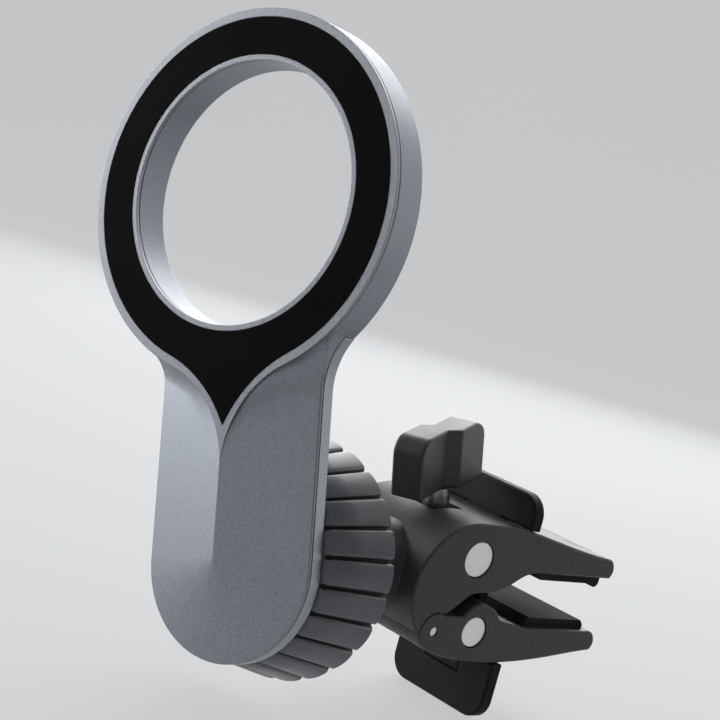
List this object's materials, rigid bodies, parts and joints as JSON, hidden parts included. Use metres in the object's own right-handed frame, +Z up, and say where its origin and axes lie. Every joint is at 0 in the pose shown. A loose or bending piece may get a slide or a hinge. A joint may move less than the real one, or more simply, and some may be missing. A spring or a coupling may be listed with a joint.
{
  "type": "magnetic car vent phone mount",
  "caption": "Magnetic phone mount: a ring-shaped holding face on a lockable ball joint, carried by a screw-tightened two-jaw clip that grips an air vent blade.",
  "frame": {"origin": "middle of the gap between the clip's two jaws, where the vent blade is gripped", "axes": "+Y along the jaws into the vent, +Z up, +X across the jaws; the head is stored leaning on its ball joint"},
  "size_m": [0.0629, 0.0914, 0.1092],
  "materials": {
    "bezel": "satin grey, fine bead-blasted",
    "pad": "matt black silicone",
    "head": "satin grey, fine bead-blasted",
    "cover": "dark grey, satin",
    "magnets": "nickel plated",
    "shunt": "plain steel",
    "socket": "dark acetal",
    "screws": "zinc plated",
    "liner": "natural nylon",
    "nut": "dark grey, semi-gloss",
    "ball": "dark, smooth",
    "washer": "black",
    "insert": "knurled brass",
    "clip": "dark grey, fine texture",
    "pin": "bright steel",
    "plate": "black, fine texture",
    "barrel": "bright, satin",
    "screw_steel": "bright steel",
    "knob": "dark grey, satin"
  },
  "bodies": {
    "clip": {"upper_jaw": "clip", "upper_jaw_pad": "pad", "stop_plate": "plate", "stop_foot": "plate", "foot_screws": "screws", "hinge_pin": "pin", "ball_screw": "screws", "screw_insert": "insert", "friction_washer": "washer"},
    "ball": {"ball": "ball"},
    "liner": {"friction_liner": "liner"},
    "head": {"face_bezel": "bezel", "face_pad": "pad", "head_shell": "head", "magnets": "magnets", "shunt_ring": "shunt", "rear_cover": "cover", "collet_socket": "socket", "socket_screws": "screws"},
    "squeeze": {"squeeze_ring": "socket"},
    "nut": {"lock_nut": "nut"},
    "lower_jaw": {"lower_jaw": "clip", "lower_jaw_pad": "pad"},
    "upper_barrel": {"upper_barrel": "barrel", "thrust_washer": "pin", "opening_spring": "pin"},
    "screw": {"clip_screw": "screw_steel", "wing_knob": "knob", "snap_ring": "pin"},
    "lower_barrel": {"lower_barrel": "barrel"}
  },
  "joints": [
    {"name": "ball_spin", "type": "hinge", "parent": "clip", "child": "ball", "pos_m": [0, -0.058, 0.0015], "axis": [0, 1, 0], "continuous": true},
    {"name": "ball_tilt", "type": "hinge", "parent": "ball", "child": "liner", "pos_m": [0, -0.058, 0.0015], "axis": [-0.3007, 0, 0.9537], "range_deg": [-39.3, 10.7]},
    {"name": "head_spin", "type": "hinge", "parent": "liner", "child": "head", "pos_m": [0, -0.058, 0.0015], "axis": [-0.2356, 0.969, -0.0743], "continuous": true},
    {"name": "nut_advance", "type": "slide", "parent": "head", "child": "squeeze", "axis": [-0.2356, 0.969, -0.0743], "range_m": [0, 0.00101]},
    {"name": "nut_turn", "type": "hinge", "parent": "squeeze", "child": "nut", "pos_m": [0, -0.058, 0.0015], "axis": [-0.2356, 0.969, -0.0743], "range_deg": [0, 180]},
    {"name": "jaw_close", "type": "hinge", "parent": "clip", "child": "lower_jaw", "pos_m": [0, -0.0292, -0.0062], "axis": [1, 0, 0], "range_deg": [0, 8.02], "deforming": ["opening_spring"]},
    {"name": "screw_tilt", "type": "hinge", "parent": "clip", "child": "upper_barrel", "pos_m": [0, -0.0233, 0.0069], "axis": [1, 0, 0], "range_deg": [0, 1.15]},
    {"name": "knob_turn", "type": "hinge", "parent": "upper_barrel", "child": "screw", "pos_m": [0, -0.0233, 0.0069], "axis": [0, 0.2688, -0.9632], "range_deg": [0, 937.1]},
    {"name": "lower_barrel_turn", "type": "hinge", "parent": "lower_jaw", "child": "lower_barrel", "pos_m": [0, -0.0197, -0.006], "axis": [1, 0, 0], "range_deg": [-6.89, 0]}
  ],
  "couplings": [
    {"joint": "nut_advance", "follows": "nut_turn", "m_per_rad": 0.00031831},
    {"joint": "jaw_close", "follows": "knob_turn", "ratio": 0.0085366},
    {"joint": "screw_tilt", "follows": "knob_turn", "ratio": 0.0012086},
    {"joint": "lower_barrel_turn", "follows": "knob_turn", "ratio": -0.007328}
  ]
}
